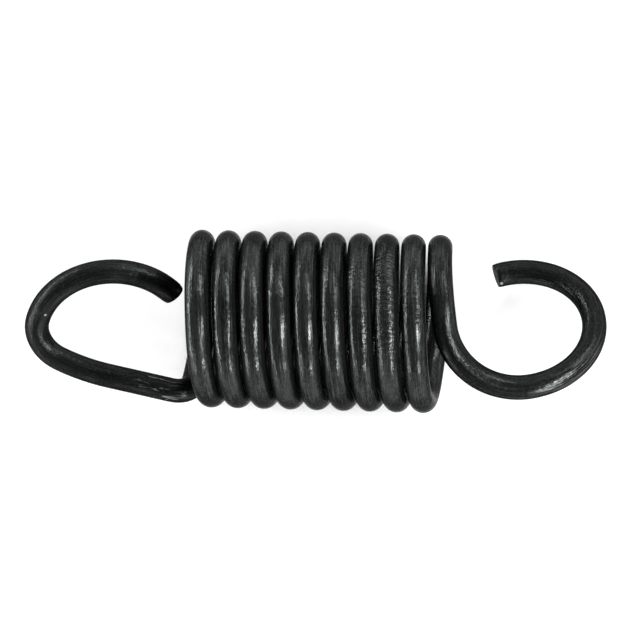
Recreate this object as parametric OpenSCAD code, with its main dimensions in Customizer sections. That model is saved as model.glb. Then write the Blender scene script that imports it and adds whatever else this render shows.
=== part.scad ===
// Extension spring bent from one length of round wire: a close coil with an open hook at each end.
// The coil's axis lies along X, and the spring lies on its side with +Z up.

/* [Wire] */
// Diameter of the wire
wire_d = 3; // [2.4:0.1:3.2]

/* [Coil] */
// Radius that the turns are bent to, at the middle of the wire
coil_r = 9.4; // [9:0.1:10.2]
// Clear gap between neighbouring turns when the spring is slack
turn_gap = 0.25; // [0.1:0.01:0.5]
// Quarter turns between the two hooks
coil_quarters = 38; // [18:4:42]
// Turn about the coil's axis at which the spring comes to rest, in degrees
rest_turn = -150; // [-180:1:180]

/* [Left hook] */
// Radius of the sharp corner where the leg leaves the coil
corner_r = 2.1; // [1.8:0.1:3]
// Angle that the corner turns the wire through
corner_angle = 96; // [85:1:105]
// Twist of the wire before the corner
corner_twist = 82; // [75:1:90]
// Straight length of the leg
leg_length = 8.1; // [6:0.1:12]
// Radius of the slight bend past the leg
leg_bend_r = 22; // [15:1:30]
// Angle of the slight bend past the leg
leg_bend_angle = 17; // [10:1:25]
// Twist of the wire before the slight bend
leg_bend_twist = -97; // [-110:1:-85]
// Radius of the far corner of the eye
left_eye_r = 4.4; // [4:0.1:6]
// Angle of the far corner of the eye
left_eye_angle = 83; // [75:1:95]
// Twist of the wire before the far corner
left_eye_twist = 3; // [-10:1:15]
// Radius of the bend that brings the end of the wire back to the coil
left_tip_r = 9.6; // [8.5:0.1:10.5]
// Angle of that bend
left_tip_angle = 127; // [100:1:140]
// Twist of the wire before that bend
left_tip_twist = 16; // [5:1:25]

/* [Right hook] */
// Radius of the tighter last part of the coil
peel_r = 7.1; // [6.5:0.1:8.5]
// Angle of the tighter last part of the coil
peel_angle = 75; // [60:1:85]
// Twist of the wire before it
peel_twist = 7; // [5:1:10]
// Radius of the bend that leads the wire away from the coil
lead_out_r = 9; // [8:0.1:10]
// Angle of the bend that leads the wire away
lead_out_angle = 91; // [80:1:100]
// Twist of the wire before it
lead_out_twist = 84; // [75:1:90]
// Radius of the eye
right_eye_r = 9.1; // [8:0.1:10]
// Angle of the eye
right_eye_angle = 191; // [150:1:200]
// Twist of the wire before the eye
right_eye_twist = -57; // [-65:1:-45]

/* [Hidden] */
$fn = 48;
// How much further a bend is swept before it is trimmed, in degrees.
spare_angle = 5;
pitch = wire_d + turn_gap;
// Twisting the wire a little between quarter turns is what makes the coil climb.
turn_twist = 2 * asin(pitch / (8 * coil_r));
climb = sin(turn_twist / 2);
// Slope of the wire, and its distance from the axis, where two quarter turns meet.
lead = atan(climb);
joint_r = coil_r * sqrt(1 - climb * climb) / (1 + climb * climb);

// One bend is [radius, angle, twist before it, straight length before it].
coil_bends = [for (i = [1 : coil_quarters]) [coil_r, 90, i == 1 ? turn_twist / 2 : turn_twist, 0]];
left_bends = [
  [corner_r, corner_angle, corner_twist, 0],
  [leg_bend_r, leg_bend_angle, leg_bend_twist, leg_length],
  [left_eye_r, left_eye_angle, left_eye_twist, 0],
  [left_tip_r, left_tip_angle, left_tip_twist, 0]
];
right_bends = [
  [peel_r, peel_angle, turn_twist / 2 + peel_twist, 0],
  [lead_out_r, lead_out_angle, lead_out_twist, 0],
  [right_eye_r, right_eye_angle, right_eye_twist, 0]
];

// Matrices that follow the same bends, to find how far the wire reaches.
function moved(v) = [[1, 0, 0, v[0]], [0, 1, 0, v[1]], [0, 0, 1, v[2]], [0, 0, 0, 1]];
function turned_x(a) = [[1, 0, 0, 0], [0, cos(a), -sin(a), 0], [0, sin(a), cos(a), 0], [0, 0, 0, 1]];
function turned_y(a) = [[cos(a), 0, sin(a), 0], [0, 1, 0, 0], [-sin(a), 0, cos(a), 0], [0, 0, 0, 1]];
function turned_z(a) = [[cos(a), -sin(a), 0, 0], [sin(a), cos(a), 0, 0], [0, 0, 1, 0], [0, 0, 0, 1]];
function bent(r, a) = moved([r, 0, 0]) * turned_y(a) * moved([-r, 0, 0]);
function bend_start(bend) = moved([0, 0, bend[3]]) * turned_z(bend[2]);
function bend_frames(start, bends) = [
  for (i = 0, m = start; i < len(bends); m = m * bend_start(bends[i]) * bent(bends[i][0], bends[i][1]), i = i + 1) m
];
function past_all(start, bends) =
  let (n = len(bends) - 1)
  bend_frames(start, bends)[n] * bend_start(bends[n]) * bent(bends[n][0], bends[n][1]);
function wire_points(start, bends) =
  let (frames = bend_frames(start, bends))
  [for (i = [0 : len(bends) - 1], a = [0 : 1 : bends[i][1]])
    let (p = frames[i] * bend_start(bends[i]) * bent(bends[i][0], a) * [0, 0, 0, 1]) [p[0], p[1], p[2]]];

coil_start = turned_x(rest_turn) * moved([0, joint_r, 0]) * turned_y(lead) * turned_z(-90);
points = concat(
  wire_points(coil_start, coil_bends),
  wire_points(past_all(coil_start, coil_bends), right_bends),
  wire_points(coil_start * turned_x(180), left_bends)
);
low = [for (k = [0 : 2]) min([for (p = points) p[k]])];
high = [for (k = [0 : 2]) max([for (p = points) p[k]])];

module spring() {
  color("dimgray")
    translate([-(low[0] + high[0]) / 2, -(low[1] + high[1]) / 2, wire_d / 2 - low[2]])
      rotate([rest_turn, 0, 0]) at_coil_start() {
        wire(coil_bends);
        after(coil_bends, len(coil_bends)) wire(right_bends);
        rotate([180, 0, 0]) wire(left_bends);
      }
}

// Moves to the start of the coil, where the wire runs along +Z and bends towards +X.
module at_coil_start() {
  translate([0, joint_r, 0]) rotate([0, lead, 0]) rotate([0, 0, -90]) children();
}

// The wire along a list of bends, from the origin.
module wire(bends) {
  for (i = [0 : len(bends) - 1])
    after(bends, i) straight_and_bend(bends[i]);
}

// Moves to the end of the first n bends.
module after(bends, n) {
  if (n == 0) children();
  else after(bends, n - 1) at_bend(bends[n - 1]) past_bend(bends[n - 1][0], bends[n - 1][1]) children();
}

module at_bend(bend) {
  translate([0, 0, bend[3]]) rotate([0, 0, round_angle(bend[2])]) children();
}

module past_bend(r, angle) {
  translate([r, 0, 0]) rotate([0, round_angle(angle), 0]) translate([-r, 0, 0]) children();
}

// A bend other than a quarter turn is swept a little long, then trimmed square where the next one starts.
module straight_and_bend(bend) {
  r = bend[0];
  angle = bend[1];
  if (bend[3] > 0) cylinder(d = wire_d, h = bend[3]);
  at_bend(bend) if (angle == 90) swept_wire(r, angle);
  else difference() {
    swept_wire(r, angle + spare_angle);
    past_bend(r, angle) translate([-wire_d, -wire_d, 0]) cube([2 * wire_d, 2 * wire_d, wire_d]);
  }
}

module swept_wire(r, angle) {
  translate([r, 0, 0]) rotate([90, 0, 180]) rotate_extrude(angle = angle) translate([r, 0]) circle(d = wire_d);
}

// The nearest angle whose cosine and sine both end at six decimals, so that bends meet with exactly equal faces.
digits = 1e6;
tries = 400;
function round_angle(a) =
  a % 90 == 0 ? a :
  let (near = [for (i = [-tries : tries])
    let (c = (round(cos(a) * digits) + i) / digits, s = sqrt(max(0, 1 - c * c)) * digits)
    if (abs(c) < 1) [abs(s - round(s)), sign(sin(a)) * acos(c)]])
  let (best = min([for (n = near) n[0]]))
  [for (n = near) if (n[0] == best) n[1]][0];

spring();
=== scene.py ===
"""Looks for the extension spring.

The same bends as the solid's are swept with fine rings, with a worn black finish, cut ends, and the photograph's
camera and light.
"""

import math

import bpy
from mathutils import Matrix, Vector, noise


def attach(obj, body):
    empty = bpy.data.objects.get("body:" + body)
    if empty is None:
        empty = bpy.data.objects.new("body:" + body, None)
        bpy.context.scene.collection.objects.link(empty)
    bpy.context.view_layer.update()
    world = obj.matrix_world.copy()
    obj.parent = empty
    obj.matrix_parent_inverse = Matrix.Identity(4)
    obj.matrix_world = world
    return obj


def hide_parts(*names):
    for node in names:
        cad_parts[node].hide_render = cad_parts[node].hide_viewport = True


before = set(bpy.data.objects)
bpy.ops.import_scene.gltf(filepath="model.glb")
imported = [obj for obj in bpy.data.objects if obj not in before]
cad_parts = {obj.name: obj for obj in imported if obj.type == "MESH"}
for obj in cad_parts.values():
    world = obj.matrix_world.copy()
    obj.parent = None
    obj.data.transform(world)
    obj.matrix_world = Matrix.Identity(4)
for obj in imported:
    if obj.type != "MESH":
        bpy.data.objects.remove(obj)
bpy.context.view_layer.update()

MM = 0.001

# The wire, in millimetres and degrees, with the same values as the solid.
WIRE_D = 3.0
COIL_R = 9.4
TURN_GAP = 0.25
COIL_QUARTERS = 38
REST_TURN = -150.0
# One bend is (radius, angle, twist before it, straight length before it).
LEFT_BENDS = [(2.1, 96, 82, 0), (22, 17, -97, 8.1), (4.4, 83, 3, 0), (9.6, 127, 16, 0)]
RIGHT_BENDS = [(7.1, 75, 7, 0), (9, 91, 84, 0), (9.1, 191, -57, 0)]

# The solid, which rounds its angles, lies about this much further over, in mm.
ONTO_SOLID = Vector((0.014, 0.025, 0.001))

# The sweep: the longest step from ring to ring in mm, and the points round a ring.
RING_STEP = 0.5
SIDES = 48

# The cut ends: how far the rim is taken in as a share of the radius (half of this at the left end and a third at the
# right), the rings across the face as shares of the radius, and the face's depth and unevenness in mm.
BEVEL = 0.14
FACE_RINGS = (0.86, 0.55, 0.25)
FACE_DEPTH = 0.02
FACE_ROUGH = 0.05
FACE_GRAIN = 2
# The left end is pinched by this share, over this length in mm.
PINCH = 0.16
PINCH_LENGTH = 1.6
# How far the surface of the wire waves in and out in mm, and how finely along the wire and round it.
WAVINESS = 0.012
WAVES_ALONG = 0.35
WAVES_ROUND = 1.4
WAVES_FROM = 7


def moved(x, y, z):
    return Matrix.Translation((x, y, z))


def turned(angle, axis):
    return Matrix.Rotation(math.radians(angle), 4, axis)


def bent(radius, angle):
    return moved(radius, 0, 0) @ turned(angle, "Y") @ moved(-radius, 0, 0)


def place_of(m):
    """A place on the wire: its point, its direction, and the way towards the bend's centre."""
    return m.translation, m.col[2].xyz, m.col[0].xyz


def follow(start, bends):
    """The places along a list of bends, and the matrix at their end."""
    places = []
    m = start
    for radius, angle, twist, straight in bends:
        steps = math.ceil(straight / RING_STEP)
        places += [place_of(m @ moved(0, 0, i * straight / steps)) for i in range(steps)]
        m = m @ moved(0, 0, straight) @ turned(twist, "Z")
        steps = math.ceil(math.radians(angle) * radius / RING_STEP)
        places += [place_of(m @ bent(radius, i * angle / steps)) for i in range(steps)]
        m = m @ bent(radius, angle)
    return places, m


def centreline():
    """The places along the whole wire, from the left tip to the right one."""
    pitch = WIRE_D + TURN_GAP
    twist = 2 * math.degrees(math.asin(pitch / (8 * COIL_R)))
    climb = math.sin(math.radians(twist / 2))
    lead = math.degrees(math.atan(climb))
    joint_r = COIL_R * math.sqrt(1 - climb**2) / (1 + climb**2)
    start = turned(REST_TURN, "X") @ moved(0, joint_r, 0) @ turned(lead, "Y") @ turned(-90, "Z")
    coil, end = follow(start, [(COIL_R, 90, twist if i else twist / 2, 0) for i in range(COIL_QUARTERS)])
    peel_r, peel_angle, peel_twist, _ = RIGHT_BENDS[0]
    right, last = follow(end, [(peel_r, peel_angle, twist / 2 + peel_twist, 0), *RIGHT_BENDS[1:]])
    left, first = follow(start @ turned(180, "X"), LEFT_BENDS)
    left.append(place_of(first))
    right.append(place_of(last))
    places = [(p, -d, c) for p, d, c in reversed(left[1:])] + coil + right
    low = [min(p[k] for p, _, _ in places) for k in range(3)]
    high = [max(p[k] for p, _, _ in places) for k in range(3)]
    onto_floor = Vector((-(low[0] + high[0]) / 2, -(low[1] + high[1]) / 2, WIRE_D / 2 - low[2]))
    return [(p + onto_floor + ONTO_SOLID, d, c) for p, d, c in places]


def smooth(low, high, x):
    t = min(1, max(0, (x - low) / (high - low)))
    return t * t * (3 - 2 * t)


def untwisted(places):
    """The places, each with two directions across the wire that don't turn about it, and its distance along it."""
    side = places[0][2]
    along = 0.0
    before = places[0][0]
    rings = []
    for point, direction, centre in places:
        along += (point - before).length
        before = point
        direction = direction.normalized()
        side = (side - direction * side.dot(direction)).normalized()
        rings.append((point, direction, side.copy(), direction.cross(side), centre, along))
    return rings


def wire_mesh(places):
    """The swept wire.

    Its attribute straight says where each point was on the straight wire, along it and then across it. Its attribute
    outer is 1 on the outside of a bend and -1 on the inside.
    """
    verts, faces, straight, outer, cut = [], [], [], [], []
    rings = untwisted(places)
    pinch_way = rings[0][3]

    def ring(place, scale, shift):
        point, direction, x, y, centre, along = place
        first = len(verts)
        for k in range(SIDES):
            a = 2 * math.pi * k / SIDES
            way = x * math.cos(a) + y * math.sin(a)
            across = (math.cos(a) * WAVES_ROUND, math.sin(a) * WAVES_ROUND + WAVES_FROM)
            wave = 0.5 + 0.5 * noise.noise(Vector((along * WAVES_ALONG, *across)))
            pinched = smooth(PINCH_LENGTH, 0, along) * PINCH
            r = (WIRE_D / 2 * scale - WAVINESS * wave) * (1 - pinched * max(0, way.dot(pinch_way)) ** 2)
            rough = 0
            if shift:
                grain = Vector((math.cos(a) * r * FACE_GRAIN, math.sin(a) * r * FACE_GRAIN, along))
                rough = FACE_ROUGH * noise.noise(grain)
            verts.append(point + way * r + direction * (shift + rough))
            straight.append((along + shift, r * math.cos(a), r * math.sin(a)))
            outer.append(-way.dot(centre))
        return first

    def join(a, b, is_cut):
        for k in range(SIDES):
            n = (k + 1) % SIDES
            faces.append((a + k, a + n, b + n, b + k))
            cut.append(is_cut)

    def close(first, order):
        faces.append(tuple(range(first, first + SIDES))[::order])
        cut.append(True)

    swept = [(rings[0], scale, FACE_DEPTH, True) for scale in reversed(FACE_RINGS)]
    swept.append((rings[0], 1 - BEVEL / 2, 0, True))
    swept += [(place, 1, 0, False) for place in rings[1:-1]]
    swept.append((rings[-1], 1 - BEVEL / 3, 0, False))
    swept += [(rings[-1], scale, -FACE_DEPTH, True) for scale in FACE_RINGS]
    previous = None
    for place, scale, shift, is_cut in swept:
        this = ring(place, scale, shift)
        if previous is None:
            close(this, -1)
        else:
            join(previous, this, is_cut)
        previous = this
    close(previous, 1)

    mesh = bpy.data.meshes.new("spring_wire")
    mesh.from_pydata([v * MM for v in verts], [], faces)
    flat = [x for s in straight for x in s]
    mesh.attributes.new("straight", "FLOAT_VECTOR", "POINT").data.foreach_set("vector", flat)
    mesh.attributes.new("outer", "FLOAT", "POINT").data.foreach_set("value", outer)
    mesh.polygons.foreach_set("material_index", [int(c) for c in cut])
    mesh.polygons.foreach_set("use_smooth", [True] * len(faces))
    mesh.update()
    return mesh


class Nodes:
    """A short way to add shader nodes to a material or a world and join them."""

    def __init__(self, owner, output="OutputMaterial"):
        self.owner = owner
        owner.use_nodes = True
        self.tree = owner.node_tree
        self.tree.nodes.clear()
        self.out = self.add(output)

    def add(self, kind, inputs=None, **settings):
        node = self.tree.nodes.new("ShaderNode" + kind)
        for name, value in settings.items():
            setattr(node, name, value)
        for name, value in (inputs or {}).items():
            if isinstance(value, bpy.types.NodeSocket):
                self.tree.links.new(value, node.inputs[name])
            else:
                node.inputs[name].default_value = value
        return node

    def math(self, operation, a, b=0.0):
        return self.add("Math", {0: a, 1: b}, operation=operation).outputs[0]

    def noise(self, vector, scale, detail=3.0, roughness=0.5):
        where = self.add("VectorMath", {0: vector, 1: scale}, operation="MULTIPLY").outputs[0]
        inputs = {"Vector": where, "Scale": 1.0, "Detail": detail, "Roughness": roughness}
        return self.add("TexNoise", inputs).outputs["Fac"]

    def step(self, value, low, high, low_out=0.0, high_out=1.0):
        inputs = {0: value, 1: low, 2: high, 3: low_out, 4: high_out}
        return self.add("MapRange", inputs, interpolation_type="SMOOTHSTEP").outputs[0]

    def mix(self, factor, a, b):
        return self.add("Mix", {0: factor, 6: a, 7: b}, data_type="RGBA").outputs[2]

    def finished(self, shader):
        self.tree.links.new(shader.outputs[0], self.out.inputs[0])
        return self.owner


def grey(r, g=None, b=None):
    return (r, r if g is None else g, r if b is None else b, 1.0)


# Marks are (where along the wire in mm, half the length, strength): those that the coiling tool left, bright
# scratches on the left leg, and painted highlights in bare-metal colour on the outside of each eye.
TOOL_MARKS = [(495.5, 8.0, 1.0), (437.0, 6.5, 0.55), (554.0, 5.0, 0.35), (379.0, 4.0, 0.25)]
SCRATCHED = [(40.6, 3.2, 1.0)]
PAINTED_EYE_HIGHLIGHTS = [(634.8, 7.5, 0.45), (28.6, 4.0, 0.45)]
# Nicks that show bare metal, as (place on the straight wire in mm, radius): on the left eye and the right end's rim.
NICKS = [((19.2, 0.35, 1.45), 0.22), ((660.45, -1.00, -1.06), 0.32)]

# Painted shade darkens the hooks: where the coil's tone sets in and fades along the wire in mm, and by how much.
COIL_START = (38.0, 60.0)
COIL_END = (600.0, 622.0)
HOOK_PAINTED_SHADE = 0.45

# Colours of the finish, from its darkest to bare metal (also the colour of the painted highlights), and of the cut
# ends.
OXIDE_DARK = grey(0.014, 0.0155, 0.0147)
OXIDE_LIGHT = grey(0.052, 0.0565, 0.0543)
STREAK = grey(0.085, 0.090, 0.0875)
SPECK = grey(0.110, 0.116, 0.113)
BARE_METAL_AND_HIGHLIGHT = grey(0.42, 0.43, 0.42)
CUT_DARK = grey(0.012, 0.013, 0.0125)
CUT_LIGHT = grey(0.055, 0.057, 0.056)
CUT_BARE = grey(0.60, 0.60, 0.59)
DULL_TINT = grey(0.2)

# How high the bumps stand on the wire and on its cut ends, in metres.
WIRE_BUMP = 0.0001
CUT_BUMP = 0.00012


def nicked(n, place):
    """1 inside the nicks, 0 elsewhere."""
    found = 0.0
    for where, radius in NICKS:
        away = n.add("VectorMath", {0: place, 1: where}, operation="DISTANCE").outputs["Value"]
        found = n.math("MAXIMUM", n.step(away, 0.4 * radius, radius, 1.0, 0.0), found)
    return found


def wire_material():
    """Black oxide over drawn steel: fine lines along the wire, grains, tool marks and bare scratches.

    Each noise has its scale per millimetre of straight wire, along it and then across it.
    """
    n = Nodes(bpy.data.materials.new("spring_wire"))
    place = n.add("Attribute", attribute_name="straight").outputs["Vector"]
    outer = n.add("Attribute", attribute_name="outer").outputs["Fac"]
    along = n.add("SeparateXYZ", {"Vector": place}).outputs["X"]

    def near(marks):
        total = None
        for where, half, strength in marks:
            away = n.math("ABSOLUTE", n.math("SUBTRACT", along, where))
            here = n.step(away, 0.5 * half, half, strength, 0.0)
            total = here if total is None else n.math("ADD", total, here)
        return total

    lines = n.noise(place, (0.12, 3.0, 3.0), 1.5, 0.5)
    fine_lines = n.noise(place, (0.30, 6.0, 6.0), 2.0, 0.6)
    patches = n.noise(place, (0.12, 0.5, 0.5), 3.0, 0.55)
    grains = n.noise(place, (2.8, 4.0, 4.0), 1.5, 0.5)
    dust = n.noise(place, (6.0, 7.0, 7.0), 2.0, 0.6)
    waves = n.noise(place, (0.7, 0.40, 0.40), 2.0, 0.5)
    tool_marks = n.noise(place, (3.4, 0.5, 0.5), 1.0, 0.4)
    in_coil = n.math("MULTIPLY", n.step(along, *COIL_START), n.step(along, *COIL_END, 1.0, 0.0))

    # Where the finish is worn through to bare metal, and where the eyes get painted highlights, from 0 to 1.
    scratches = n.step(n.noise(place, (0.22, 6.0, 6.0), 4.0, 0.72), 0.66, 0.75)
    gouges = n.step(n.noise(place, (0.55, 3.4, 3.4), 2.0, 0.6), 0.58, 0.66)
    streaky = n.step(fine_lines, 0.44, 0.62)
    # Painted highlights on the outside of each eye, in bare-metal colour along the fine lines.
    eye_highlight = n.math("MULTIPLY", n.math("MULTIPLY", near(PAINTED_EYE_HIGHLIGHTS), n.step(outer, 0.25, 0.85)), streaky)
    wear_and_highlight = n.math("MULTIPLY", scratches, n.step(outer, -0.2, 0.8, 0.06, 0.26))
    wear_and_highlight = n.math("MAXIMUM", wear_and_highlight, n.math("MULTIPLY", gouges, n.math("MULTIPLY", near(SCRATCHED), 0.6)))
    wear_and_highlight = n.math("MAXIMUM", wear_and_highlight, n.math("MULTIPLY", eye_highlight, 0.38))
    wear_and_highlight = n.math("MAXIMUM", wear_and_highlight, nicked(n, place))

    mottled = n.math("ADD", n.math("MULTIPLY", patches, 0.45), n.math("MULTIPLY", dust, 0.55))
    dark = n.mix(n.step(mottled, 0.36, 0.64), OXIDE_DARK, OXIDE_LIGHT)
    streaked = n.mix(n.step(fine_lines, 0.45, 0.68, 0.0, 0.7), dark, STREAK)
    speckled = n.mix(n.step(grains, 0.55, 0.72, 0.0, 0.4), streaked, SPECK)
    # Painted shade: the hooks are mixed towards black.
    finish_with_shade = n.mix(in_coil, n.mix(HOOK_PAINTED_SHADE, speckled, grey(0.0)), speckled)
    colour = n.mix(wear_and_highlight, finish_with_shade, BARE_METAL_AND_HIGHLIGHT)

    shiny = n.step(n.math("ADD", n.math("MULTIPLY", lines, 0.6), n.math("MULTIPLY", grains, 0.4)), 0.42, 0.60)
    rough = n.math("SUBTRACT", n.step(grains, 0.3, 0.7, 0.32, 0.40), n.math("MULTIPLY", shiny, 0.08))
    rough = n.math("SUBTRACT", rough, n.math("MULTIPLY", in_coil, 0.06))

    line_height = n.math("MULTIPLY", lines, 0.50)
    grain_height = n.math("ADD", n.math("MULTIPLY", grains, 0.42), n.math("MULTIPLY", waves, 1.4))
    mark_height = n.math("MULTIPLY", tool_marks, n.math("MULTIPLY", near(TOOL_MARKS), 3.2))
    height = n.math("ADD", line_height, n.math("ADD", grain_height, mark_height))
    bump = n.add("Bump", {"Strength": 0.8, "Distance": WIRE_BUMP, "Height": height}).outputs[0]

    shader = n.add(
        "BsdfPrincipled",
        {
            "Base Color": colour,
            "Roughness": rough,
            "Metallic": 0.85,
            "Normal": bump,
            "Specular IOR Level": 0.15,
            "Specular Tint": DULL_TINT,
        },
    )
    return n.finished(shader)


def cut_material():
    """The sheared ends: dark and uneven, with bare metal only in the nick."""
    n = Nodes(bpy.data.materials.new("cut_end"))
    place = n.add("Attribute", attribute_name="straight").outputs["Vector"]
    grain = n.noise(place, (2.0, 1.2, 4.5), 4.0, 0.65)
    stain = n.noise(place, (0.8, 0.9, 0.9), 3.0, 0.6)
    dark = n.mix(n.step(stain, 0.35, 0.65), CUT_DARK, CUT_LIGHT)
    colour = n.mix(nicked(n, place), dark, CUT_BARE)
    rough = n.step(grain, 0.3, 0.7, 0.40, 0.60)
    bump = n.add("Bump", {"Strength": 0.8, "Distance": CUT_BUMP, "Height": grain}).outputs[0]
    shader = n.add(
        "BsdfPrincipled",
        {"Base Color": colour, "Roughness": rough, "Metallic": 0.6, "Normal": bump, "Specular Tint": DULL_TINT},
    )
    return n.finished(shader)


# The floor: its size and how far it shades under the spring in metres, the open share at which that shade starts and
# ends, its colours, and how strongly it glows to what looks at it.
FLOOR_SIZE = 6.0
SHADE_REACH = 0.015
SHADE_STEP = (0.30, 0.62)
FLOOR_SHADE = grey(0.06)
FLOOR_PALE = (grey(0.36), grey(0.38))
FLOOR_GLOW = 0.84


def background_light(n):
    """1 where the camera, a reflection or a clear surface looks, and 0 for what lights the object."""
    rays = n.add("LightPath")
    seen = n.math("MAXIMUM", rays.outputs["Is Camera Ray"], rays.outputs["Is Glossy Ray"])
    return n.math("MAXIMUM", seen, rays.outputs["Is Transmission Ray"])


def floor_material():
    n = Nodes(bpy.data.materials.new("pale_floor"))
    grain = n.noise(n.add("TexCoord").outputs["Object"], (40.0, 40.0, 40.0), 2.0)
    occlusion = n.add("AmbientOcclusion", {"Distance": SHADE_REACH}, samples=8)
    open_sky = n.step(occlusion.outputs["AO"], *SHADE_STEP)
    glow = n.math("MULTIPLY", background_light(n), FLOOR_GLOW)
    shader = n.add(
        "BsdfPrincipled",
        {
            "Base Color": n.mix(open_sky, FLOOR_SHADE, n.mix(grain, *FLOOR_PALE)),
            "Roughness": 0.9,
            "Specular IOR Level": 0.0,
            "Emission Color": grey(1.0),
            "Emission Strength": n.math("MULTIPLY", glow, open_sky),
        },
    )
    return n.finished(shader)


def add_floor():
    bpy.ops.mesh.primitive_plane_add(size=FLOOR_SIZE, location=(0, 0, 0))
    floor = bpy.context.object
    floor.name = "floor"
    floor.data.materials.append(floor_material())


# The camera, in metres and degrees in the part's frame, with its lens and sensor in mm.
CAMERA_AT = (0.04107, -0.01065, 0.43581)
CAMERA_TURN = (1.595, 5.362, 1.509)
CAMERA_LENS = 196.83
SENSOR = 36.0


def add_camera():
    data = bpy.data.cameras.new("camera")
    data.lens = CAMERA_LENS
    data.sensor_width = SENSOR
    data.clip_start = 0.01
    data.clip_end = 20
    camera = bpy.data.objects.new("camera", data)
    camera.location = CAMERA_AT
    camera.rotation_euler = [math.radians(a) for a in CAMERA_TURN]
    bpy.context.collection.objects.link(camera)
    bpy.context.scene.camera = camera


# One lamp is (name, direction towards it, distance and its two sides in metres, power in watts).
LAMPS = [
    ("key", (0.70, -0.22, 0.68), 0.9, 0.40, 0.03, 7.0),
    ("left", (-0.97, -0.02, 0.23), 0.9, 2.40, 0.04, 13.0),
    ("high", (0.57, 0.62, 0.53), 0.9, 0.60, 0.10, 2.6),
    ("fill", (0.10, 0.71, 0.70), 1.1, 0.8, 0.6, 1.0),
    ("low", (0.54, -0.76, 0.36), 0.9, 0.08, 0.05, 2.2),
]


def add_lamps():
    for name, way, distance, width, height, power in LAMPS:
        data = bpy.data.lights.new(name, "AREA")
        data.shape = "RECTANGLE"
        data.size = width
        data.size_y = height
        data.energy = power
        lamp = bpy.data.objects.new(name, data)
        way = Vector(way).normalized()
        lamp.location = way * distance
        lamp.rotation_euler = way.to_track_quat("Z", "Y").to_euler()
        bpy.context.collection.objects.link(lamp)


# Strength of the world, how much brighter its pale walls are ahead and behind, and how high up they fade out (as the
# sine of the angle above the horizon).
WORLD_LIGHT = 0.18
WALL_LIGHT = 0.75
WALL_TOP = 0.75


def add_world():
    n = Nodes(bpy.data.worlds.new("studio"), "OutputWorld")
    way = n.add("SeparateXYZ", {"Vector": n.add("TexCoord").outputs["Generated"]}).outputs
    ahead = n.math("MULTIPLY", way["Y"], way["Y"])
    wall = n.step(way["Z"], 0.0, WALL_TOP, WALL_LIGHT, 0.0)
    strength = n.math("ADD", n.math("MULTIPLY", wall, ahead), WORLD_LIGHT)
    bpy.context.scene.world = n.finished(n.add("Background", {"Color": grey(1.0), "Strength": strength}))


spring = bpy.data.objects.new("spring_wire", wire_mesh(centreline()))
bpy.context.collection.objects.link(spring)
spring.data.materials.append(wire_material())
spring.data.materials.append(cut_material())
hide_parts("spring")
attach(spring, "root")

add_floor()
add_lamps()
add_world()
add_camera()
bpy.context.scene.view_settings.view_transform = "Standard"
